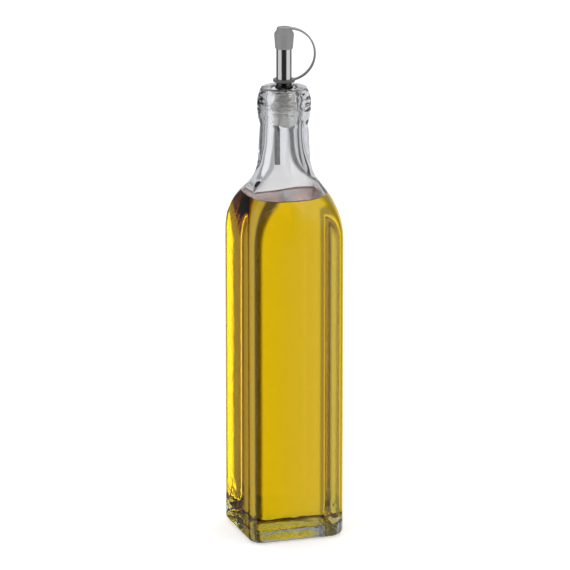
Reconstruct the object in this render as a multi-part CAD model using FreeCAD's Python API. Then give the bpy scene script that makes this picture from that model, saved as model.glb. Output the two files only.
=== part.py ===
import FreeCAD, Part
import math
import os

# Square glass oil bottle with a capped steel pourer, in millimetres.
# The origin is the middle of the base on the surface it stands on, and +Z is up.
# Each size below can be set by itself; everything that meets it is worked out from it.

# Glass body
bottle_height = 268.4        # base to mouth
body_width = 59.0            # across the flats, both ways
corner_radius = 9.0          # upright corners
heel_radius = 4.0            # edge between sides and base
wall = 3.0                   # side wall
inner_corner_radius = 8.0    # corners of the cavity
base_thickness = 6.6         # glass under the cavity floor
floor_radius = 5.5           # edge between cavity floor and sides
punt_radius = 20.0           # round hollow under the base
punt_roof_radius = 14.0
punt_depth = 1.8

# Shoulder and neck
shoulder_height = 47.0       # from the top of the straight sides to the neck
neck_height = 41.6           # from the top of the shoulder to the mouth
neck_radius = 15.3           # where the neck leaves the shoulder
neck_slimming = 1.2          # how much slimmer the neck is under the lip
shoulder_fullness = 33.5     # upright handle of the shoulder curve at the body
shoulder_sweep = 19.0        # upright handle of the shoulder curve at the neck
corner_fade = 2.9            # how soon the flat faces narrow on the way up
round_bow = 15.0             # degrees of arc in a face once the section is round

# Lip ring round the mouth
lip_radius = 15.85
lip_height = 21.6            # from the waist under the ring to the mouth
lip_swell_round = 0.5        # how far the lower bead is from upright halfway up
mouth_slope = 0.7            # how far the upper bead leans in two thirds of the way up
lip_groove_drop = 11.2       # groove below the mouth
lip_groove_depth = 0.5
lip_groove_half = 0.9
mouth_flat_radius = 13.3     # outer edge of the flat on top of the lip
mouth_round = 1.4            # rounding from that flat into the bore

# Bore
bore_radius = 7.35
bore_length = 25.2           # straight part that grips the stopper
bore_flare = 2.0             # how much wider the neck is inside at the shoulder
inner_fullness = 34.5        # the same two handles for the cavity's shoulder
inner_sweep = 17.0
inner_shoulder_drop = 0.5    # the cavity starts to narrow this much lower

# Oil
ullage = 63.2                # from the mouth down to the oil

# Stopper
rib_clearance = 0.05         # rib to bore
stopper_recess = 2.7         # top of the stopper below the mouth
stopper_length = 18.2
stopper_radius = 6.5         # at the top
stopper_taper = 0.25         # smaller by this at the tip
stopper_tip_bevel = 0.5
rib_count = 3
rib_first = 4.6              # first rib below the stopper's top
rib_pitch = 3.3
rib_root = 1.3               # rib thickness where it leaves the stopper
rib_tip = 0.5                # rib thickness at its edge
top_rim = 1.1                # thickness of the rim round the stopper's top
press_clearance = 0.03       # tubes pressed into the stopper
well_height = 2.0            # small well where pour channel and vent tube meet the spout
channel_radius = 2.3
channel_offset = 2.6

# Steel spout
spout_radius = 4.55
spout_wall = 0.45
spout_rise = 31.3            # spout's end above the mouth
flange_reach = 0.75          # flange beyond the spout
flange_height = 2.2
flange_bevel = 0.5
flange_drop = 0.8            # flange's underside below the mouth
shank_step = 1.15            # shank slimmer than the spout by this
shank_wall = 0.6
shank_depth = 9.3            # shank pressed into the stopper
spout_lip_bevel = 0.2

# Steel vent tube
vent_radius = 1.6
vent_wall = 0.4
vent_skin = 0.6              # stopper left outside the vent tube
vent_drop = 24.4             # vent tube below the stopper
vent_turn = 172.0            # degrees round from +X

# Cap with its strap and ring, moulded in one
cap_clearance = 0.05         # cap to spout
cap_skirt = 0.6              # wall at the cap's open end
cap_swell = 0.65             # cap wider by this at the shoulder
cap_overlap = 8.3            # cap down over the spout
roof_gap = 0.3               # spout's end to the inside of the roof
roof_rim = 0.5               # from the inside of the roof to the cap's shoulder
cap_chamfer = 1.9            # height of the sloping shoulder
tab_radius = 4.3             # round tab on top, which runs out into the strap
tab_thickness = 1.6
tab_round = 0.5
ring_clearance = 0.05        # ring to spout
ring_wall = 1.85
ring_height = 1.6
ring_rise = 3.4              # ring's underside above the mouth
ring_bevel = 0.4
strap_thickness = 1.15
strap_width = 3.2
strap_bevel = 0.3
strap_centre = 2.75          # middle of the strap's loop out from the axis
strap_turn = -10.0           # degrees round from +X

UP = FreeCAD.Vector(0, 0, 1)
ORIGIN = FreeCAD.Vector(0, 0, 0)

# Heights and radii that follow from the sizes above
neck_start = bottle_height - neck_height
shoulder_start = neck_start - shoulder_height
body_half = body_width / 2
cavity_half = body_half - wall
cavity_shoulder_start = shoulder_start - inner_shoulder_drop
bore_bottom = bottle_height - bore_length
inner_neck_radius = bore_radius + bore_flare
oil_level = bottle_height - ullage
stopper_top = bottle_height - stopper_recess
stopper_tip = stopper_top - stopper_length
tip_radius = stopper_radius - stopper_taper
shank_radius = spout_radius - shank_step
shank_end = stopper_top - shank_depth
well_floor = shank_end - well_height
vent_offset = tip_radius - vent_skin - vent_radius
flange_bottom = bottle_height - flange_drop
spout_end = bottle_height + spout_rise
roof_inside = spout_end + roof_gap
cap_shoulder = roof_inside + roof_rim
ring_bottom = bottle_height + ring_rise


def outline(start, *steps):
    """Closed outline in the XZ half plane from (radius, height) points.

    A step is a point for a straight run, or a pair of points, via and end, for an arc.
    """
    edges = []
    here = FreeCAD.Vector(start[0], 0, start[1])
    for step in steps + (start,):
        if isinstance(step[0], tuple):
            via, end = [FreeCAD.Vector(r, 0, z) for r, z in step]
            edges.append(Part.Arc(here, via, end).toShape())
        else:
            end = FreeCAD.Vector(step[0], 0, step[1])
            edges.append(Part.makeLine(here, end))
        here = end
    return Part.Face(Part.Wire(edges))


def turned(start, *steps):
    """Solid of revolution about Z from an outline."""
    return outline(start, *steps).revolve(ORIGIN, UP, 360)


def round_corner(corner, radius, side_r, side_z):
    """Middle of a quarter round in a square corner; the sides say where its centre lies."""
    keep = radius * (1 - math.sqrt(0.5))
    return (corner[0] + side_r * keep, corner[1] + side_z * keep)


def section(half, flat, bow, height):
    """Square with rounded corners whose four faces bow out by an arc, all joints tangent.

    half is the distance to the middle of a face, flat is half the length of a face's arc,
    and bow is the angle of that arc from its middle to its end. With bow 0 the faces are
    straight, and with flat = half * sin(bow) the section is a circle.
    """
    bow = math.radians(bow)
    joint = half - flat * math.tan(bow / 2)
    radius = (joint - flat) / (math.cos(bow) - math.sin(bow))
    centre = joint - radius * math.cos(bow)
    diagonal = centre + radius * math.sqrt(0.5)
    edges = []
    for quarter in range(4):
        turn = FreeCAD.Rotation(UP, 90 * quarter)
        face_start, face_middle, face_end, corner, corner_end = [
            turn.multVec(FreeCAD.Vector(x, y, 0)) + UP * height
            for x, y in ((joint, -flat), (half, 0), (joint, flat), (diagonal, diagonal), (flat, joint))
        ]
        if bow > math.radians(0.05):
            edges.append(Part.Arc(face_start, face_middle, face_end).toShape())
        else:
            edges.append(Part.makeLine(face_start, face_end))
        edges.append(Part.Arc(face_end, corner, corner_end).toShape())
    return Part.Wire(edges)


def square_block(half, corner, bottom, top, bottom_round):
    """Upright block with rounded corners and a rounded bottom edge."""
    block = Part.Face(section(half, half - corner, 0, bottom)).extrude(UP * (top - bottom))
    rim = [edge for edge in block.Edges if edge.BoundBox.ZMax < bottom + 0.01]
    return block.makeFillet(bottom_round, rim)


def shoulder(half, corner, bottom, top_radius, top, lean, fullness, sweep):
    """Loft from the square body to the round neck along an S curve.

    lean is how much the neck narrows for each millimetre up, so the curve runs into it.
    """
    curve = Part.BezierCurve()
    curve.setPoles([
        FreeCAD.Vector(half, 0, bottom),
        FreeCAD.Vector(half, 0, bottom + fullness),
        FreeCAD.Vector(top_radius + sweep * lean, 0, top - sweep),
        FreeCAD.Vector(top_radius, 0, top),
    ])
    stations = 8
    round_flat = top_radius * math.sin(math.radians(round_bow))
    wires = []
    for step in range(stations + 1):
        point = curve.value(step / stations)
        rounding = (half - point.x) / (half - top_radius)
        flat = round_flat + (half - corner - round_flat) * max(1 - rounding, 0) ** corner_fade
        wires.append(section(point.x, flat, round_bow * rounding, point.z))
    return Part.makeLoft(wires, True, False)


def glass_outside():
    """Body, shoulder, neck and lip ring as one closed form."""
    waist = bottle_height - lip_height
    waist_radius = neck_radius - neck_slimming
    groove = bottle_height - lip_groove_drop
    bead_middle = (waist + groove) / 2
    top_middle = groove + lip_groove_drop * 0.6
    lean = neck_slimming / (waist - neck_start)
    body = square_block(body_half, corner_radius, 0, shoulder_start, heel_radius)
    taper = shoulder(body_half, corner_radius, shoulder_start, neck_radius, neck_start,
                     lean, shoulder_fullness, shoulder_sweep)
    neck = turned(
        (0, neck_start),
        (neck_radius, neck_start),
        (waist_radius, waist),
        ((lip_radius - lip_swell_round, bead_middle), (lip_radius, groove - lip_groove_half)),
        (lip_radius - lip_groove_depth, groove - lip_groove_half + lip_groove_depth),
        (lip_radius - lip_groove_depth, groove + lip_groove_half - lip_groove_depth),
        (lip_radius, groove + lip_groove_half),
        ((lip_radius - mouth_slope, top_middle), (mouth_flat_radius, bottle_height)),
        (0, bottle_height),
    )
    punt = Part.makeCone(punt_radius, punt_roof_radius, punt_depth)
    return body.fuse([taper, neck]).cut(punt)


def cavity():
    """Everything inside the glass, from the floor up through the mouth."""
    lean = bore_flare / (bore_bottom - neck_start)
    room = square_block(cavity_half, inner_corner_radius, base_thickness, cavity_shoulder_start, floor_radius)
    taper = shoulder(cavity_half, inner_corner_radius, cavity_shoulder_start, inner_neck_radius, neck_start,
                     lean, inner_fullness, inner_sweep)
    edge = (bore_radius, bottle_height)
    bore = turned(
        (0, neck_start),
        (inner_neck_radius, neck_start),
        (bore_radius, bore_bottom),
        (bore_radius, bottle_height - mouth_round),
        (round_corner(edge, mouth_round, 1, -1), (bore_radius + mouth_round, bottle_height)),
        (0, bottle_height),
    )
    return room.fuse([taper, bore])


def bottle(inside):
    return glass_outside().cut(inside).removeSplitter()


def oil(inside):
    """The cavity's own form up to the level of the oil."""
    corner = FreeCAD.Vector(-body_half, -body_half, oil_level)
    above = Part.makeBox(body_width, body_width, bottle_height, corner)
    return inside.cut(above).removeSplitter()


def around(radius_out, degrees):
    """Point at a distance from the axis, in a direction round it."""
    angle = math.radians(degrees)
    return FreeCAD.Vector(radius_out * math.cos(angle), radius_out * math.sin(angle), 0)


def stopper():
    """Tapered plug with sealing ribs, bored for the spout, the pour channel and the vent tube."""
    seal_radius = bore_radius - rib_clearance
    solid = turned(
        (0, stopper_tip),
        (tip_radius - stopper_tip_bevel, stopper_tip),
        (tip_radius, stopper_tip + stopper_tip_bevel),
        (stopper_radius, stopper_top - top_rim),
        (seal_radius, stopper_top - top_rim),
        (seal_radius, stopper_top),
        (0, stopper_top),
    )
    for index in range(rib_count):
        middle = stopper_top - rib_first - index * rib_pitch
        solid = solid.fuse(turned(
            (0, middle - rib_root / 2),
            (tip_radius, middle - rib_root / 2),
            (seal_radius, middle - rib_tip / 2),
            (seal_radius, middle + rib_tip / 2),
            (tip_radius, middle + rib_root / 2),
            (0, middle + rib_root / 2),
        ))
    well_radius = vent_offset + vent_radius - vent_wall
    holes = [
        Part.makeCylinder(shank_radius + press_clearance, shank_depth, UP * shank_end),
        Part.makeCylinder(well_radius, well_height, UP * well_floor),
        Part.makeCylinder(vent_radius + press_clearance, well_floor - stopper_tip,
                          around(vent_offset, vent_turn) + UP * stopper_tip),
        Part.makeCylinder(channel_radius, well_floor - stopper_tip,
                          around(channel_offset, vent_turn + 180) + UP * stopper_tip),
    ]
    return solid.cut(holes).removeSplitter()


def spout():
    """Drawn steel tube: slim shank, flange above the stopper and a straight spout."""
    flange_radius = spout_radius + flange_reach
    flange_top = flange_bottom + flange_height
    shank_inside = shank_radius - shank_wall
    inside = spout_radius - spout_wall
    return turned(
        (shank_inside, shank_end),
        (shank_radius, shank_end),
        (shank_radius, flange_bottom),
        (flange_radius - flange_bevel, flange_bottom),
        (flange_radius, flange_bottom + flange_bevel),
        (flange_radius, flange_top - flange_bevel),
        (flange_radius - flange_bevel, flange_top),
        (spout_radius, flange_top),
        (spout_radius, spout_end - spout_lip_bevel),
        (spout_radius - spout_lip_bevel, spout_end),
        (inside, spout_end),
        (inside, flange_bottom + flange_height),
        (shank_inside, flange_bottom + spout_wall),
    )


def vent_tube():
    """Thin tube that lets air in; it hangs from the stopper to just above the oil."""
    foot = around(vent_offset, vent_turn) + UP * (stopper_tip - vent_drop)
    length = well_floor - foot.z
    tube = Part.makeCylinder(vent_radius, length, foot)
    return tube.cut(Part.makeCylinder(vent_radius - vent_wall, length, foot))


def strap(ring_middle, tab_middle, ring_line):
    """Ribbon that leaves the tab level, loops round and comes in to the ring."""
    loop = (tab_middle - ring_middle) / 2
    half_width = strap_width / 2
    half_thick = strap_thickness / 2
    centre = FreeCAD.Vector(strap_centre, 0, (tab_middle + ring_middle) / 2)
    ribbon = Part.makeBox(strap_centre, strap_width, strap_thickness,
                          FreeCAD.Vector(0, -half_width, tab_middle - half_thick))
    ribbon_end = max(ribbon.Faces, key=lambda face: face.CenterOfMass.x)
    stop = math.degrees(math.asin((ring_line - strap_centre) / loop))
    bend = ribbon_end.revolve(centre, FreeCAD.Vector(0, 1, 0), 180 - stop)
    long_edges = [
        edge for edge in bend.Edges
        if isinstance(edge.Curve, Part.Circle) and edge.Length > loop
    ]
    return ribbon.fuse(bend.makeChamfer(strap_bevel, long_edges))


def cap():
    """Cap over the spout's end, tied by its strap to a ring lower down the spout."""
    bore = spout_radius + cap_clearance
    mouth_radius = bore + cap_skirt
    wide_radius = mouth_radius + cap_swell
    cap_bottom = spout_end - cap_overlap
    tab_bottom = cap_shoulder + cap_chamfer
    tab_top = tab_bottom + tab_thickness
    shell = turned(
        (bore, cap_bottom),
        (mouth_radius, cap_bottom),
        (wide_radius, cap_shoulder),
        (tab_radius, tab_bottom),
        (tab_radius, tab_top - tab_round),
        (round_corner((tab_radius, tab_top), tab_round, -1, -1), (tab_radius - tab_round, tab_top)),
        (0, tab_top),
        (0, roof_inside),
        (bore, roof_inside),
    )
    ring_inside = spout_radius + ring_clearance
    ring_outside = ring_inside + ring_wall
    ring_top = ring_bottom + ring_height
    ring = turned(
        (ring_inside, ring_bottom),
        (ring_outside - ring_bevel, ring_bottom),
        (ring_outside, ring_bottom + ring_bevel),
        (ring_outside, ring_top - ring_bevel),
        (ring_outside - ring_bevel, ring_top),
        (ring_inside, ring_top),
    )
    tie = strap((ring_bottom + ring_top) / 2, (tab_bottom + tab_top) / 2, ring_inside + ring_wall / 2)
    tie.rotate(ORIGIN, UP, strap_turn)
    return shell.fuse([ring, tie]).removeSplitter()


os.makedirs("parts", exist_ok=True)
inside = cavity()
nodes = {
    "bottle": bottle(inside),
    "oil": oil(inside),
    "stopper": stopper(),
    "spout": spout(),
    "vent_tube": vent_tube(),
    "cap": cap(),
}
for name, shape in nodes.items():
    print(name, "valid", shape.isValid(), "solids", len(shape.Solids), "cm3", round(shape.Volume / 1000, 3))
    shape.exportStep("parts/" + name + ".step")
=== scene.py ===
import math
import bpy
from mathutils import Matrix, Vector


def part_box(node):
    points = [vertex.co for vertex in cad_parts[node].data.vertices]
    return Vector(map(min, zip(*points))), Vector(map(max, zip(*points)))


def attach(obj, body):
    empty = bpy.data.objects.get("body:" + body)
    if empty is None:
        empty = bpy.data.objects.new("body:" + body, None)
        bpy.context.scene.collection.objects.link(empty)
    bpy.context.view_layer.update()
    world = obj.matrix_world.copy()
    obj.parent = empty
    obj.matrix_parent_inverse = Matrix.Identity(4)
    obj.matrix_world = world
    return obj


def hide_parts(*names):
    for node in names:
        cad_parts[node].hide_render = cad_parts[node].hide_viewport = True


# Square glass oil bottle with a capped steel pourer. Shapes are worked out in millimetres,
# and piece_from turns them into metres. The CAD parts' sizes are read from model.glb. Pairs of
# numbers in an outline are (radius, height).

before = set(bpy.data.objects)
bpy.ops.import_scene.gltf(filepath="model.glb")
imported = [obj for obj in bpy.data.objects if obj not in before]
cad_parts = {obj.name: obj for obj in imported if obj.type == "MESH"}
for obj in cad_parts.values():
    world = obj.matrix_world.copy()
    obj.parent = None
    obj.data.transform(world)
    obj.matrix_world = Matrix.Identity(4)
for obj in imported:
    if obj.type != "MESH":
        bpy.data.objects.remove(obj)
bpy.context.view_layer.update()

MM = 0.001
BODY = "root"


def box_in_mm(node):
    """The low and the high corner of a CAD node's box."""
    return [Vector(corner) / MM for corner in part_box(node)]


bottle_high = box_in_mm("bottle")[1]
oil_low, oil_high = box_in_mm("oil")
stopper_low, stopper_high = box_in_mm("stopper")
spout_low, spout_high = box_in_mm("spout")
vent_low, vent_high = box_in_mm("vent_tube")
cap_low, cap_high = box_in_mm("cap")

# Glass body, shoulder, neck and lip
body_half = bottle_high.x
mouth = bottle_high.z
corner_radius = 9.0
heel_radius = 4.0
shoulder_height = 47.0
neck_start = mouth - 41.6
shoulder_start = neck_start - shoulder_height
neck_radius = 15.3
neck_waist_radius = 14.1
neck_waist = mouth - 21.6
shoulder_fullness = 33.5
shoulder_sweep = 19.0
corner_fade = 2.9
round_bow = 15.0
lip_radius = 15.85
lip_groove = mouth - 11.2
lip_groove_half = 0.9
lip_groove_depth = 0.5
lip_bead_inset = 0.5
lip_crown_inset = 0.7
lip_crown_share = 0.6        # of the way from the groove to the mouth
mouth_flat_radius = 13.3
mouth_round = 1.4
punt_radius = 20.0
punt_roof_radius = 14.0
punt_depth = 1.8
face_crown = 0.8             # degrees of arc that the flat faces keep from moulding

# The room inside the glass
cavity_half = oil_high.x
cavity_floor = oil_low.z
oil_level = oil_high.z
inner_corner_radius = 8.0
floor_radius = 5.5
inner_shoulder_start = shoulder_start - 0.5
inner_neck_radius = 8.9
inner_neck_lean = 0.17       # how fast the neck widens inside where the shoulder starts
inner_fullness = 34.5
inner_sweep = 17.0
bore_radius = 7.35
bore_bottom = mouth - 19.0
choke = ((7.3, mouth - 24.9), (7.5, mouth - 30.4), (8.0, mouth - 36.4))  # tight throat under the bore
drift = ((neck_start - 20.8, 0.0), (neck_start - 12.8, 1.2), (neck_start + 3.2, 0.0))  # (height, sideways)

# Where the pieces of glass and oil lie against each other
proud = 0.15                 # how far the oil reaches into the wall
nested = 0.04                # how far the surface layer keeps inside the oil's own side
wet_line = oil_level - 0.19  # where the oil's surface meets the wall
fill_sink = 0.05             # how far the stained oil ends under its surface
surface_depth = 3.0
skin_gap = 0.04              # between the glass's skins and the body inside them, up and down
skin_share = 0.0015          # and sideways, as a share of the distance from the axis
stipple_height = 0.01        # faces below it are the foot that the bottle stands on
height_slack = 0.001         # what equal heights may differ by

# The oil's open surface: (distance from the wall, depth below the oil level)
meniscus = ((0.4, 0.5), (1.0, 0.9), (2.0, 1.2), (3.2, 1.3), (10.0, 1.3), (20.0, 1.3), (26.0, 1.3))

FACE_STEPS = 10
CORNER_STEPS = 22
ROUND_STEPS = 8
BODY_STEPS = 24
SHOULDER_STEPS = 44
TURNED_STEPS = 96


# ---------------------------------------------------------------- mesh making

def piece_from(name, vertices, faces, materials, node, finish_of=None):
    """A smooth-shaded mesh piece that rides on the bottle and stands for a CAD node.

    finish_of, if given, tells from a face's corners which of the materials it gets.
    """
    mesh = bpy.data.meshes.new(name)
    mesh.from_pydata([tuple(v * MM) for v in vertices], [], faces)
    mesh.polygons.foreach_set("use_smooth", [True] * len(mesh.polygons))
    for material in materials:
        mesh.materials.append(material)
    if finish_of:
        for polygon in mesh.polygons:
            finish = finish_of([vertices[i] for i in polygon.vertices])
            polygon.material_index = materials.index(finish)
    mesh.update()
    piece = bpy.data.objects.new(name, mesh)
    bpy.context.collection.objects.link(piece)
    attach(piece, BODY)
    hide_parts(node)
    return piece


def skin(rows, loop=False):
    """Vertices and faces of a closed skin through rows of points of equal count.

    The first and last rows are closed by fans, or joined to each other when loop is set.
    """
    count = len(rows[0])
    vertices = [point for row in rows for point in row]
    faces = []
    pairs = list(zip(range(len(rows) - 1), range(1, len(rows))))
    if loop:
        pairs.append((len(rows) - 1, 0))
    for low, high in pairs:
        for i in range(count):
            j = (i + 1) % count
            faces.append((low * count + i, low * count + j, high * count + j, high * count + i))
    if not loop:
        for row, flip in ((0, True), (len(rows) - 1, False)):
            middle = sum(rows[row], Vector()) / count
            vertices.append(middle)
            centre = len(vertices) - 1
            for i in range(count):
                j = (i + 1) % count
                edge = (row * count + i, row * count + j)
                faces.append((edge[1], edge[0], centre) if flip else (edge[0], edge[1], centre))
    return vertices, faces


def section(half, flat, bow, height):
    """Points round a square whose corners are rounded and whose faces bow out by an arc.

    The rule is the CAD's: half is the distance to a face's middle, flat half the length
    of its arc and bow the degrees from the arc's middle to its end.
    """
    bow = math.radians(max(bow, 0.001))
    face_arc = flat / math.sin(bow)
    joint = half - flat * math.tan(bow / 2)
    radius = (joint - flat) / (math.cos(bow) - math.sin(bow))
    centre = joint - radius * math.cos(bow)
    quarter = []
    for step in range(FACE_STEPS):
        angle = bow * (2 * step / FACE_STEPS - 1)
        quarter.append((half - face_arc + face_arc * math.cos(angle), face_arc * math.sin(angle)))
    for step in range(CORNER_STEPS):
        angle = bow + (math.pi / 2 - 2 * bow) * step / CORNER_STEPS
        quarter.append((centre + radius * math.cos(angle), centre + radius * math.sin(angle)))
    points = []
    for c, s in ((1, 0), (0, 1), (-1, 0), (0, -1)):
        points += [Vector((x * c - y * s, x * s + y * c, height)) for x, y in quarter]
    return points


def ring(radius, height):
    """The same points on a circle."""
    return section(radius, radius * math.sin(math.radians(round_bow)), round_bow, height)


def between(row_a, row_b, share):
    """The row that lies a share of the way from one row to another."""
    return [a.lerp(b, share) for a, b in zip(row_a, row_b)]


def bezier(points, t):
    """The point at t, from 0 to 1, of the curve that four flat points pull into shape."""
    a, b, c, d = points
    u = 1 - t
    return [u ** 3 * a[i] + 3 * u * u * t * b[i] + 3 * u * t * t * c[i] + t ** 3 * d[i] for i in (0, 1)]


def shoulder_rows(half, corner, bottom, top_radius, top, lean, fullness, sweep):
    """Sections along the shoulder's S curve, from square to round."""
    handles = (
        (half, bottom), (half, bottom + fullness),
        (top_radius + sweep * lean, top - sweep), (top_radius, top),
    )
    round_flat = top_radius * math.sin(math.radians(round_bow))
    rows = []
    for step in range(SHOULDER_STEPS + 1):
        reach, height = bezier(handles, step / SHOULDER_STEPS)
        rounding = (half - reach) / (half - top_radius)
        flat = round_flat + (half - corner - round_flat) * max(1 - rounding, 0) ** corner_fade
        rows.append(section(reach, flat, face_crown + (round_bow - face_crown) * rounding, height))
    return rows


def arc_through(start, via, end, steps):
    """Points of the circular arc through three (radius, height) points, without its start."""
    (ax, ay), (bx, by), (cx, cy) = start, via, end
    side = 2 * (ax * (by - cy) + bx * (cy - ay) + cx * (ay - by))
    a, b, c = [x * x + y * y for x, y in (start, via, end)]
    middle_x = (a * (by - cy) + b * (cy - ay) + c * (ay - by)) / side
    middle_y = (a * (cx - bx) + b * (ax - cx) + c * (bx - ax)) / side
    radius = math.hypot(ax - middle_x, ay - middle_y)
    first, last = [math.atan2(y - middle_y, x - middle_x) for x, y in (start, end)]
    turn = math.copysign(math.tau, side)
    while (last - first) * turn < 0:
        last += turn
    angles = [first + (last - first) * k / steps for k in range(1, steps + 1)]
    return [(middle_x + radius * math.cos(t), middle_y + radius * math.sin(t)) for t in angles]


def glass_outside_rows():
    """Rows from the middle of the base, up the outside and over the lip to the mouth."""
    heel_inset = body_half - heel_radius
    flat = body_half - corner_radius
    rows = [ring(1, punt_depth), ring(punt_roof_radius, punt_depth), ring(punt_radius, 0)]
    rim = section(heel_inset, flat, 0, 0)
    rows += [between(rows[-1], rim, share) for share in (0.33, 0.66, 1.0)]
    for step in range(1, ROUND_STEPS + 1):
        angle = math.pi / 2 * step / ROUND_STEPS
        rise = heel_radius * (1 - math.cos(angle))
        rows.append(section(heel_inset + heel_radius * math.sin(angle), flat, face_crown, rise))
    for step in range(1, BODY_STEPS):
        rows.append(section(body_half, flat, face_crown,
                            heel_radius + (shoulder_start - heel_radius) * step / BODY_STEPS))
    lean = (neck_radius - neck_waist_radius) / (neck_waist - neck_start)
    rows += shoulder_rows(body_half, corner_radius, shoulder_start, neck_radius, neck_start,
                          lean, shoulder_fullness, shoulder_sweep)
    for step in range(1, ROUND_STEPS + 1):
        share = step / ROUND_STEPS
        rows.append(ring(neck_radius + (neck_waist_radius - neck_radius) * share,
                         neck_start + (neck_waist - neck_start) * share))
    return rows + [ring(r, z) for r, z in lip_profile()]


def lip_profile():
    """(radius, height) points of the lip ring, from the waist under it to the mouth's flat."""
    bead = (lip_radius - lip_bead_inset, (neck_waist + lip_groove) / 2)
    crown = (lip_radius - lip_crown_inset, lip_groove + (mouth - lip_groove) * lip_crown_share)
    low_edge = (lip_radius, lip_groove - lip_groove_half)
    high_edge = (lip_radius, lip_groove + lip_groove_half)
    points = arc_through((neck_waist_radius, neck_waist), bead, low_edge, 12)
    points += arc_through(low_edge, (lip_radius - lip_groove_depth, lip_groove), high_edge, 8)
    points += arc_through(high_edge, crown, (mouth_flat_radius, mouth), 18)
    return points


def smooth_line(stops, steps):
    """Points of an even curve through the (radius, height) stops."""
    points = []
    last = len(stops) - 1
    for i in range(last):
        a, b, c, d = [Vector(stops[min(max(k, 0), last)]) for k in (i - 1, i, i + 1, i + 2)]
        for k in range(steps):
            t = k / steps
            points.append(0.5 * (2 * b + (c - a) * t + (2 * a - 5 * b + 4 * c - d) * t ** 2
                                 + (3 * b - a - 3 * c + d) * t ** 3))
    return points + [Vector(stops[-1])]


def glass_inside_rows():
    """Rows of the cavity, from the mouth down to the middle of its floor."""
    rows = []
    edge_steps = 6
    for step in range(edge_steps + 1):
        angle = math.pi / 2 * step / edge_steps
        rows.append(ring(bore_radius + mouth_round * (1 - math.sin(angle)),
                         mouth - mouth_round * (1 - math.cos(angle))))
    bore_top = mouth - mouth_round
    for step in range(1, ROUND_STEPS + 1):
        rows.append(ring(bore_radius, bore_top + (bore_bottom - bore_top) * step / ROUND_STEPS))
    stops = ((bore_radius, bore_bottom),) + choke + ((inner_neck_radius, neck_start),)
    rows += [ring(r, z) for r, z in smooth_line(stops, 6)[1:-1]]
    below, above = split_at(cavity_rows(), wet_line)
    return [off_centre(row) for row in rows + (below + above)[::-1]]


def off_centre(row):
    """The row pushed sideways: inside, the blown neck does not run quite straight."""
    height, shift = row[0].z, 0.0
    for (low, before), (high, after) in zip(drift, drift[1:]):
        if low < height <= high:
            share = (height - low) / (high - low)
            shift = before + (after - before) * share * share * (3 - 2 * share)
    return [p + Vector((shift, 0, 0)) for p in row]


def cavity_rows(growth=0.0):
    """Rows of the room inside the glass, from its floor to the neck, grown into the wall."""
    half = cavity_half + growth
    corner = inner_corner_radius + growth
    flat = half - corner
    floor = cavity_floor - growth
    rows = [section(share * (half - floor_radius), share * flat, 0, floor) for share in (0.05, 0.35, 0.7)]
    for step in range(ROUND_STEPS + 1):
        angle = math.pi / 2 * step / ROUND_STEPS
        rows.append(section(half - floor_radius * (1 - math.sin(angle)), flat, face_crown,
                            floor + floor_radius * (1 - math.cos(angle))))
    start = floor + floor_radius
    for step in range(1, BODY_STEPS):
        height = start + (inner_shoulder_start - start) * step / BODY_STEPS
        rows.append(section(half, flat, face_crown, height))
    rows += shoulder_rows(half, corner, inner_shoulder_start, inner_neck_radius + growth, neck_start,
                          inner_neck_lean, inner_fullness, inner_sweep)
    return rows


def split_at(rows, height):
    """Rows below a height with one laid in at it, and the rows above it."""
    below = [row for row in rows if row[0].z < height]
    above = rows[len(below):]
    share = (height - below[-1][0].z) / (above[0][0].z - below[-1][0].z)
    return below + [between(below[-1], above[0], share)], above


def bottle_glass(dry, wetted, stippled):
    """The glass's skins; oil lies against the inside up to the wet line, and the foot is stippled.

    It bends and mirrors light but holds no stain of its own: light that comes in through one
    finish and leaves through another would keep the stain for good.
    """
    outside = glass_outside_rows()
    vertices, faces = skin(outside + glass_inside_rows())
    inner = set(tuple(v) for v in vertices[len(outside) * len(outside[0]):])

    def finish_of(corners):
        if all(v.z <= wet_line + height_slack and tuple(v) in inner for v in corners):
            return wetted
        return stippled if all(v.z <= stipple_height for v in corners) else dry

    return piece_from("bottle_glass", vertices, faces, (dry, wetted, stippled), "bottle",
                      finish_of=finish_of)


def glass_body(tint):
    """The glass between its skins, a hair inside them: the grey that thick glass shows."""
    shrunk, grown = 1 - skin_share, 1 + skin_share
    outside = [[Vector((p.x * shrunk, p.y * shrunk, p.z + skin_gap - 2 * skin_gap * p.z / mouth))
                for p in row] for row in glass_outside_rows()]
    inside = [[Vector((p.x * grown, p.y * grown, p.z - skin_gap)) for p in row]
              for row in glass_inside_rows()]
    vertices, faces = skin(outside + inside)
    return piece_from("glass_body", vertices, faces, [tint], "bottle")


def oil_top(rim, sink):
    """Rows of the oil's open surface from its rim, which climbs the glass a little, to the middle."""
    rows = []
    for inset, drop in meniscus:
        scale = 1 - inset / cavity_half
        rows.append([Vector((p.x * scale, p.y * scale, oil_level - drop - sink)) for p in rim])
    return rows


def oil_fill(oil):
    """The stain of the oil up to its level; its side reaches a hair into the wall, so no gap shows."""
    rows, _ = split_at(cavity_rows(proud), oil_level - fill_sink)
    vertices, faces = skin(rows + oil_top(rows[-1], fill_sink))
    return piece_from("oil_fill", vertices, faces, [oil], "oil")


def oil_surface(below, surface):
    """The top few millimetres of oil, whose upper face mirrors and bends light."""
    rows, above = split_at(cavity_rows(proud - nested), oil_level - surface_depth)
    rows = split_at(rows[-1:] + above, oil_level)[0]
    first_open = (len(rows) - 1) * len(rows[0])
    vertices, faces = skin(rows + oil_top(rows[-1], 0))
    top = set(tuple(v) for v in vertices[first_open:])

    def finish_of(corners):
        return surface if all(tuple(v) in top for v in corners) else below

    return piece_from("oil_surface", vertices, faces, (below, surface), "oil",
                      finish_of=finish_of)


# ---------------------------------------------------------------- turned pieces

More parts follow.
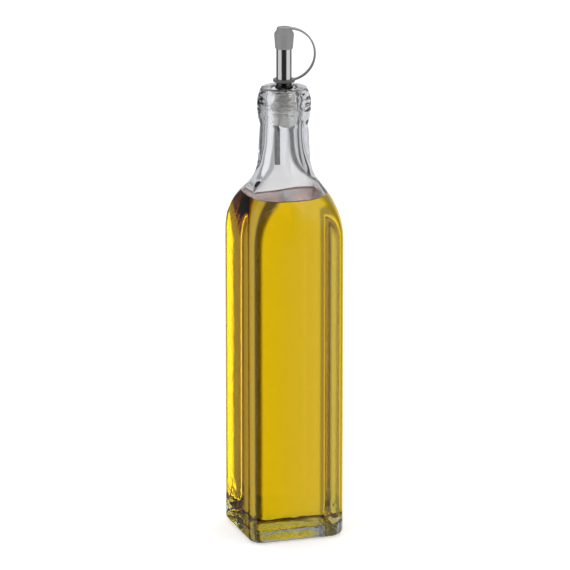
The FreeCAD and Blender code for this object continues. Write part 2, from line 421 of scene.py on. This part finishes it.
def eased(points):
    """A closed outline of (radius, height, ease) corners, each rounded off by its ease."""
    result = []
    count = len(points)
    longest = 0.45              # share of an edge that one corner may take
    arc_steps = 4
    for i, (r, z, ease) in enumerate(points):
        here = Vector((r, z))
        before = Vector(points[i - 1][:2])
        after = Vector(points[(i + 1) % count][:2])
        to_before, to_after = (before - here), (after - here)
        reach = min(ease, longest * to_before.length, longest * to_after.length)
        if reach <= 0:
            result.append((r, z))
            continue
        a = here + to_before.normalized() * reach
        b = here + to_after.normalized() * reach
        for k in range(arc_steps + 1):
            t = k / arc_steps
            p = a * (1 - t) ** 2 + here * 2 * t * (1 - t) + b * t ** 2
            result.append((p.x, p.y))
    return result


def turned(outline, steps=TURNED_STEPS, middle=(0, 0)):
    """Skin of a closed outline turned round an upright axis."""
    around = [(math.cos(math.tau * k / steps), math.sin(math.tau * k / steps)) for k in range(steps)]
    rows = [[Vector((middle[0] + r * c, middle[1] + r * s, z)) for c, s in around] for r, z in outline]
    return skin(rows, loop=True)


# ---------------------------------------------------------------- the pourer

clearance = 0.05
spout_radius = 4.55
spout_wall = 0.45
flange_radius = 5.3
flange_bottom = mouth - 0.8
flange_top = flange_bottom + 2.2
shank_radius = 3.4
shank_wall = 0.6
ring_bottom = cap_low.z
ring_top = ring_bottom + 1.6
ring_radius = 6.45
ring_wall = 1.85
strap_centre = 2.75
strap_thickness = 1.15
strap_width = 3.2
strap_swell = 0.35           # how much thicker the strap is where it leaves the cap
strap_flare = 0.3            # and how much wider
strap_swell_end = 0.9        # radians of the strap's half circle over which both fade out
strap_turn = math.radians(-10.0)
tab_thickness = 1.6
tab_radius = 4.3
cap_chamfer = 1.9
cap_mouth_radius = 5.2
cap_shoulder_radius = 5.85
cap_bottom = spout_high.z - 8.3
cap_shoulder = cap_high.z - tab_thickness - cap_chamfer
vent_radius = 1.6
vent_wall = 0.4
stopper_top_radius = 6.5
stopper_tip_radius = 6.25
collar_height = 1.1
first_rib = 4.6              # from the stopper's top to the middle of its first rib
rib_pitch = 3.3
rib_count = 3
vent_middle = ((vent_low.x + vent_high.x) / 2, (vent_low.y + vent_high.y) / 2)


def spout_tube(material):
    """The pouring tube, its flange on the stopper and its thinner shank below."""
    inner = spout_radius - spout_wall
    bore = shank_radius - shank_wall
    outline = eased([
        (bore, spout_low.z, 0.1), (shank_radius, spout_low.z, 0.1),
        (shank_radius, flange_bottom, 0.1), (flange_radius, flange_bottom, 0.7),
        (flange_radius, flange_top, 0.7), (spout_radius, flange_top, 0.3),
        (spout_radius, spout_high.z, 0.2), (inner, spout_high.z, 0.15),
        (inner, flange_top, 0.3), (bore, flange_bottom + 0.5, 0.2),
    ])
    vertices, faces = turned(outline)
    return piece_from("spout_tube", vertices, faces, [material], "spout")


def vent_pipe(material):
    """The thin air tube that hangs below the stopper, beside the axis."""
    inner = vent_radius - vent_wall
    outline = eased([
        (inner, vent_low.z, 0.1), (vent_radius, vent_low.z, 0.15),
        (vent_radius, vent_high.z, 0), (inner, vent_high.z, 0),
    ])
    vertices, faces = turned(outline, 48, vent_middle)
    return piece_from("vent_pipe", vertices, faces, [material], "vent_tube")


def ribbed_stopper(material):
    """A tapered plug with a collar at the mouth and sealing ribs that press on the bore."""
    top, tip = stopper_high.z, stopper_low.z
    seal = bore_radius - clearance

    def side(height):
        share = (height - tip) / (top - tip)
        return stopper_tip_radius + (stopper_top_radius - stopper_tip_radius) * share

    collar_foot = top - collar_height - 0.3
    outline = [
        (shank_radius, top, 0.3), (seal, top, 0.35),
        (seal - 0.1, top - collar_height, 0.2), (side(collar_foot), collar_foot, 0.3),
    ]
    for index in range(rib_count):
        middle = top - first_rib - rib_pitch * index
        outline += [
            (side(middle + 0.8), middle + 0.8, 0.4), (seal, middle + 0.3, 0.2),
            (seal, middle - 0.2, 0.2), (side(middle - 0.7), middle - 0.7, 0.4),
        ]
    outline += [(stopper_tip_radius, tip, 0.9), (shank_radius, tip, 0.3)]
    vertices, faces = turned(eased(outline))
    return piece_from("ribbed_stopper", vertices, faces, [material], "stopper")


def cap_shell(material):
    """The dust cap over the spout's end, with the disc on top that the strap grows from."""
    bore = spout_radius + clearance
    top = cap_high.z
    roof = spout_high.z + 0.3
    pole = 0.05
    outline = eased([
        (bore, cap_bottom, 0.1), (cap_mouth_radius, cap_bottom, 0.25),
        (cap_shoulder_radius, cap_shoulder, 1.8), (tab_radius, cap_shoulder + cap_chamfer, 1.2),
        (tab_radius, top, 1.1), (pole, top, 0), (pole, roof, 0), (bore, roof, 0.2),
    ])
    vertices, faces = turned(outline)
    return piece_from("cap_shell", vertices, faces, [material], "cap")


def strap_ring(material):
    """The ring round the spout's foot that keeps the strap."""
    inner = spout_radius + clearance
    outline = eased([
        (inner, ring_bottom, 0.2), (ring_radius, ring_bottom, 0.5),
        (ring_radius, ring_top, 0.5), (inner, ring_top, 0.2),
    ])
    vertices, faces = turned(outline)
    return piece_from("strap_ring", vertices, faces, [material], "cap")


def strap_ribbon(material):
    """Ribbon from inside the cap's tab, round in a half circle and into the ring."""
    tab_middle = cap_high.z - tab_thickness / 2
    ring_middle = (ring_bottom + ring_top) / 2
    loop = (tab_middle - ring_middle) / 2
    middle = (tab_middle + ring_middle) / 2
    ring_line = spout_radius + clearance + ring_wall / 2
    stop = math.asin((ring_line - strap_centre) / loop)
    path = [(x, tab_middle, 0.0) for x in (0.5, 1.5)]
    steps = 60
    for k in range(steps + 1):
        angle = (math.pi - stop) * k / steps
        path.append((strap_centre + loop * math.sin(angle), middle + loop * math.cos(angle), angle))
    c, s = math.cos(strap_turn), math.sin(strap_turn)
    rows = []
    around = 24
    boxiness = 0.5              # of the strap's section: 1 is an oval and 0 a box
    for x, z, angle in path:
        swell = max(0.0, 1 - angle / strap_swell_end)
        half_thick = strap_thickness / 2 * (1 + strap_swell * swell)
        half_width = strap_width / 2 * (1 + strap_flare * swell)
        row = []
        for k in range(around):
            turn = math.tau * k / around
            u = half_thick * math.copysign(abs(math.cos(turn)) ** boxiness, math.cos(turn))
            v = half_width * math.copysign(abs(math.sin(turn)) ** boxiness, math.sin(turn))
            out = x + u * math.sin(angle)
            row.append(Vector((out * c - v * s, out * s + v * c, z + u * math.cos(angle))))
        rows.append(row)
    vertices, faces = skin(rows)
    return piece_from("strap_ribbon", vertices, faces, [material], "cap")


# ---------------------------------------------------------------- finishes

def linear(code):
    """Linear RGBA of an sRGB hex colour."""
    channels = [int(code[i:i + 2], 16) / 255 for i in (1, 3, 5)]
    return [c / 12.92 if c <= 0.04045 else ((c + 0.055) / 1.055) ** 2.4 for c in channels] + [1.0]


def add(tree, kind, inputs=None, **settings):
    """Adds a node; its inputs are given as values or as sockets to link from."""
    node = tree.nodes.new(kind)
    for key, value in settings.items():
        setattr(node, key, value)
    for key, value in (inputs or {}).items():
        if isinstance(value, bpy.types.NodeSocket):
            tree.links.new(value, node.inputs[key])
        else:
            node.inputs[key].default_value = value
    return node


def finish_named(name):
    """An empty material and its output node."""
    material = bpy.data.materials.new(name)
    material.use_nodes = True
    tree = material.node_tree
    tree.nodes.clear()
    return material, tree, tree.nodes.new("ShaderNodeOutputMaterial")


def clear_solid(name, index, stain=None, density=0.0, ripple=None, roughness=0.0):
    """A clear finish of one refractive index, with a stain that deepens along the way through.

    density says how fast it does, per metre. An index of 1 leaves only the stain to be seen.
    """
    material, tree, out = finish_named(name)
    shader = add(tree, "ShaderNodeBsdfPrincipled", {
        "Base Color": linear("#FFFFFF"), "Roughness": roughness, "IOR": index, "Transmission Weight": 1.0,
    })
    if ripple:
        tree.links.new(ripple(tree), shader.inputs["Normal"])
    tree.links.new(shader.outputs["BSDF"], out.inputs["Surface"])
    if stain:
        absorb = add(tree, "ShaderNodeVolumeAbsorption", {"Color": linear(stain), "Density": density})
        tree.links.new(absorb.outputs["Volume"], out.inputs["Volume"])
    return material


def mottle(tree, size, stretch=(1, 1, 1), detail=2.0):
    """Soft noise between 0 and 1 whose patches are about size millimetres across."""
    place = add(tree, "ShaderNodeTexCoord").outputs["Object"]
    spread = add(tree, "ShaderNodeMapping", {"Vector": place, "Scale": stretch})
    return add(tree, "ShaderNodeTexNoise", {
        "Vector": spread.outputs[0], "Scale": 1 / (size * MM), "Detail": detail,
    }).outputs["Fac"]


def ramp_up(tree, low, high):
    """0 at one height and 1 at another, in millimetres, and even between them."""
    place = add(tree, "ShaderNodeTexCoord").outputs["Object"]
    height = add(tree, "ShaderNodeSeparateXYZ", {0: place}).outputs["Z"]
    return add(tree, "ShaderNodeMapRange", {
        "Value": height, "From Min": low * MM, "From Max": high * MM,
    }).outputs[0]


def pressed_ripple(tree):
    """What the mould leaves in glass: waves 7 mm across, and long level ridges on the lip.

    The waves hardly show on the faces and are strong on the lip and at the foot.
    """
    lip = ramp_up(tree, neck_waist - 4, neck_waist + 4)
    foot = ramp_up(tree, 22, 6)
    ends = add(tree, "ShaderNodeMath", {0: lip, 1: foot}, operation="ADD").outputs[0]
    force = add(tree, "ShaderNodeMapRange", {"Value": ends, "To Min": 0.06, "To Max": 1.0}).outputs[0]
    waves = add(tree, "ShaderNodeBump", {
        "Height": mottle(tree, 7, (1, 1, 1.6), 1.0), "Distance": 0.30 * MM, "Strength": force,
    }).outputs[0]
    return add(tree, "ShaderNodeBump", {
        "Height": mottle(tree, 3.4, (0.45, 0.45, 1.2), 0.0), "Distance": 0.8 * MM,
        "Strength": lip, "Normal": waves,
    }).outputs[0]


def settled_ripple(tree):
    """The oil's open surface, all but still: swells 14 mm across and 0.05 mm high."""
    return add(tree, "ShaderNodeBump", {
        "Height": mottle(tree, 14), "Distance": 0.05 * MM, "Strength": 1.0,
    }).outputs[0]


def polished_steel(name, low_colour, low, high_colour, high):
    """Drawn stainless tube: it mirrors in upright streaks, since draw lines run along it.

    Real draw lines are a few hundredths of a millimetre apart, so these are 0.5 mm, to show.
    Its colour goes from one at the low height to another at the high one.
    """
    material, tree, out = finish_named(name)
    tone = add(tree, "ShaderNodeMix", {
        0: ramp_up(tree, low, high), 6: linear(low_colour), 7: linear(high_colour),
    }, data_type="RGBA").outputs[2]
    lines = mottle(tree, 0.5, (1, 1, 0.04), 3.0)
    gloss = add(tree, "ShaderNodeMapRange", {"Value": lines, "To Min": 0.10, "To Max": 0.26}).outputs[0]
    drawn = add(tree, "ShaderNodeBump", {"Height": lines, "Distance": 0.01 * MM, "Strength": 1.0})
    shader = add(tree, "ShaderNodeBsdfPrincipled", {
        "Base Color": tone, "Metallic": 1.0, "Roughness": gloss, "Normal": drawn.outputs[0],
    })
    tree.links.new(shader.outputs["BSDF"], out.inputs["Surface"])
    return material


def moulded_polythene(name, low_colour, low, high_colour, high, clearness):
    """Moulded polyethylene: milky and waxy, with soft highlights and clouds 3 mm across.

    Its colour goes from one at the low height to another at the high one. Clearness is the
    share of light that gets through it.
    """
    material, tree, out = finish_named(name)
    cloud = mottle(tree, 3.0)
    tone = add(tree, "ShaderNodeMix", {
        0: ramp_up(tree, low, high), 6: linear(low_colour), 7: linear(high_colour),
    }, data_type="RGBA").outputs[2]
    lightness = add(tree, "ShaderNodeMapRange", {"Value": cloud, "To Min": 0.9, "To Max": 1.1}).outputs[0]
    cloudy = add(tree, "ShaderNodeHueSaturation", {"Value": lightness, "Color": tone}).outputs[0]
    grain = add(tree, "ShaderNodeBump", {
        "Height": mottle(tree, 0.8), "Distance": 0.03 * MM, "Strength": 1.0,
    })
    shader = add(tree, "ShaderNodeBsdfPrincipled", {
        "Base Color": cloudy, "Roughness": 0.38, "IOR": 1.5, "Transmission Weight": clearness,
        "Normal": grain.outputs[0],
    })
    tree.links.new(shader.outputs["BSDF"], out.inputs["Surface"])
    return material


# ---------------------------------------------------------------- the bottle

GLASS_INDEX = 1.52
OIL_INDEX = 1.47

# Blown soda-lime glass: a sharp mirror on a colourless wall. Where oil wets it, the two bend
# light almost alike and the wall all but vanishes. The stippled foot is a little dull.
bottle_glass(clear_solid("soda_lime_glass", GLASS_INDEX, ripple=pressed_ripple),
             clear_solid("oil_wetted_glass", GLASS_INDEX / OIL_INDEX, ripple=pressed_ripple),
             clear_solid("stippled_glass", GLASS_INDEX, ripple=pressed_ripple, roughness=0.25))

# The same glass in depth: a cool grey, seen along the walls and in the thick neck and foot
glass_body(clear_solid("soda_lime_glass_body", 1.0, "#E2E3E6", 87.5))

# Refined cooking oil: pale yellow where it is thin and deep gold through the whole bottle.
# Only its open surface bends and mirrors light, since against the wall the wetted glass does.
oil_fill(clear_solid("cooking_oil", 1.0, "#FBF34D", 108.0))
oil_surface(clear_solid("cooking_oil_under_surface", 1.0),
            clear_solid("cooking_oil_surface", OIL_INDEX, ripple=settled_ripple))

# Polished stainless steel: bright above the strap's ring, with painted shade that darkens it below the
# ring, and dull in the vent
spout_tube(polished_steel("polished_steel", "#4A4846", ring_bottom - 0.5, "#CDCDCD", ring_top + 0.5))
vent_pipe(polished_steel("vent_steel", "#6A6866", vent_low.z, "#767472", vent_high.z))

# Natural polyethylene in the stopper, greyer towards its collar, and smoke grey in the cap, with painted
# shade that darkens it from the cap's foot down to the strap's ring
ribbed_stopper(moulded_polythene("stopper_polythene", "#E2E1DA", stopper_low.z + 6,
                                 "#A9A79C", stopper_low.z + 10, 0.5))
# Painted shade: the cap's plastic grows darker from the cap's foot down to the strap's ring
cap_plastic = moulded_polythene("cap_polythene", "#6E6E6E", ring_top, "#A4A4A4", cap_bottom, 0.25)
cap_shell(cap_plastic)
strap_ring(cap_plastic)
strap_ribbon(cap_plastic)


# ---------------------------------------------------------------- floor, light and camera

# The camera and the set's lights stand square to each other, with the bottle turned between them
SET_TURN = math.radians(18.25)
SET_FRONT = (-math.sin(SET_TURN), -math.cos(SET_TURN), 0.0)
SET_RIGHT = (math.cos(SET_TURN), -math.sin(SET_TURN), 0.0)


def floor_plane():
    """A matt white floor that only the eye sees, so that clear pieces stay bright above it.

    It glows a little, which keeps the shadow faint and its far end as white as the air.
    """
    mesh = bpy.data.meshes.new("floor")
    reach = 3.0
    corners = [(-reach, -reach, 0), (reach, -reach, 0), (reach, reach, 0), (-reach, reach, 0)]
    mesh.from_pydata(corners, [], [(0, 1, 2, 3)])
    material, tree, out = finish_named("white_floor")
    path = add(tree, "ShaderNodeLightPath")
    matt = add(tree, "ShaderNodeBsdfDiffuse", {"Color": linear("#F2F2F2")})
    glow = add(tree, "ShaderNodeEmission", {"Color": linear("#FFFFFF"), "Strength": 0.45})
    lit = add(tree, "ShaderNodeAddShader", {0: matt.outputs[0], 1: glow.outputs[0]})
    clear = add(tree, "ShaderNodeBsdfTransparent")
    seen = add(tree, "ShaderNodeMixShader", {
        0: path.outputs["Is Camera Ray"], 1: clear.outputs[0], 2: lit.outputs[0],
    })
    tree.links.new(seen.outputs[0], out.inputs["Surface"])
    mesh.materials.append(material)
    floor = bpy.data.objects.new("floor", mesh)
    bpy.context.collection.objects.link(floor)


# Brightness of the set round the bottle, as (degrees, level), with 0 in front and growing to
# the right. Light that comes through glass or oil sees the first, a mirrored ray the second.
SEEN_THROUGH = (
    (0, 1.90), (11, 1.90), (18, 0.90), (35.5, 0.85), (37.5, 3.80), (44, 3.80), (54, 2.40), (64, 1.20),
    (90, 0.90), (108, 0.70), (112, 0.12), (125, 0.12), (129, 0.60), (142, 0.62), (145, 0.72), (153, 0.70),
    (157, 0.08), (168, 0.08), (174, 0.93), (180, 0.93), (193, 0.90), (198, 0.45), (204, 0.42), (209, 0.50),
    (213, 1.10), (252, 1.15), (290, 1.05), (324, 1.05), (338, 1.20), (346, 1.60), (352, 1.90), (360, 1.90),
)
MIRRORED = (
    (0, 0.03), (35.5, 0.03), (39.5, 1.00), (95, 0.95), (104, 0.06), (122, 0.06), (130, 0.60), (150, 0.70),
    (165, 1.00), (195, 1.00), (205, 0.15), (256, 0.06), (264, 0.95), (318, 0.95), (325, 0.03), (360, 0.03),
)
OVERHEAD = (0.5, 0.5, 0.5, 1.0)
UNDERFOOT = (0.22, 0.22, 0.23, 1.0)
ON_MATT_PIECES = (0.85, 0.85, 0.85, 1.0)
TO_THE_EYE = (1.0, 1.0, 1.0, 1.0)


def wall_of_light(tree, angle, stops):
    """Brightness round the bottle, from (degrees, brightness) stops over a full turn."""
    share = add(tree, "ShaderNodeMath", {0: angle, 1: 0.0, 2: math.tau}, operation="WRAP")
    place = add(tree, "ShaderNodeMath", {0: share.outputs[0], 1: math.tau}, operation="DIVIDE")
    ramp = add(tree, "ShaderNodeValToRGB", {0: place.outputs[0]})
    elements = ramp.color_ramp.elements
    for degrees, _ in stops[1:-1]:
        elements.new(degrees / 360)
    for index, (_, level) in enumerate(stops):
        elements[index].color = (level, level, level, 1.0)
    return ramp.outputs["Color"]


def studio_world():
    """White to the eye, plain light for matt finishes, and softboxes with dark flags for clear ones."""
    world = bpy.data.worlds.new("studio")
    bpy.context.scene.world = world
    world.use_nodes = True
    tree = world.node_tree
    tree.nodes.clear()
    out = tree.nodes.new("ShaderNodeOutputWorld")
    way = add(tree, "ShaderNodeTexCoord").outputs["Generated"]
    side = [add(tree, "ShaderNodeVectorMath", {0: way, 1: axis}, operation="DOT_PRODUCT").outputs["Value"]
            for axis in (SET_RIGHT, SET_FRONT)]
    angle = add(tree, "ShaderNodeMath", {0: side[0], 1: side[1]}, operation="ARCTAN2").outputs[0]
    path = add(tree, "ShaderNodeLightPath")
    height = add(tree, "ShaderNodeSeparateXYZ", {0: way}).outputs["Z"]
    over = add(tree, "ShaderNodeMapRange", {"Value": height, "From Min": 0.5, "From Max": 0.9})
    under = add(tree, "ShaderNodeMapRange", {"Value": height, "From Min": -0.6, "From Max": -0.9})
    light = add(tree, "ShaderNodeMix", {
        0: over.outputs[0], 6: wall_of_light(tree, angle, MIRRORED), 7: OVERHEAD,
    }, data_type="RGBA").outputs[2]
    through = add(tree, "ShaderNodeMix", {
        0: under.outputs[0], 6: wall_of_light(tree, angle, SEEN_THROUGH), 7: UNDERFOOT,
    }, data_type="RGBA").outputs[2]
    for ray, level in (
        ("Is Transmission Ray", through), ("Is Diffuse Ray", ON_MATT_PIECES), ("Is Camera Ray", TO_THE_EYE),
    ):
        light = add(tree, "ShaderNodeMix", {
            0: path.outputs[ray], 6: light, 7: level,
        }, data_type="RGBA").outputs[2]
    glow = add(tree, "ShaderNodeBackground", {"Color": light, "Strength": 1.0})
    tree.links.new(glow.outputs[0], out.inputs["Surface"])


def camera():
    """Long lens a little above the bottle, turned so that its left side shows."""
    tilt = math.radians(15.24)
    distance = 2.6
    aim_right, aim_height = 0.55, 149.3
    target = (Vector(SET_RIGHT) * aim_right + Vector((0, 0, aim_height))) * MM
    away = Vector(SET_FRONT) * math.cos(tilt) + Vector((0, 0, math.sin(tilt)))
    data = bpy.data.cameras.new("camera")
    data.sensor_width = 36.0
    data.lens = 279.5
    data.clip_end = 20.0
    eye = bpy.data.objects.new("camera", data)
    eye.location = target + away * distance
    eye.rotation_euler = (-away).to_track_quat("-Z", "Y").to_euler()
    bpy.context.collection.objects.link(eye)
    bpy.context.scene.camera = eye


floor_plane()
studio_world()
camera()
scene = bpy.context.scene
scene.view_settings.view_transform = "Standard"
scene.cycles.max_bounces = 90            # light crosses many walls here, or the shoulder goes black
scene.cycles.transmission_bounces = 90
scene.cycles.glossy_bounces = 12
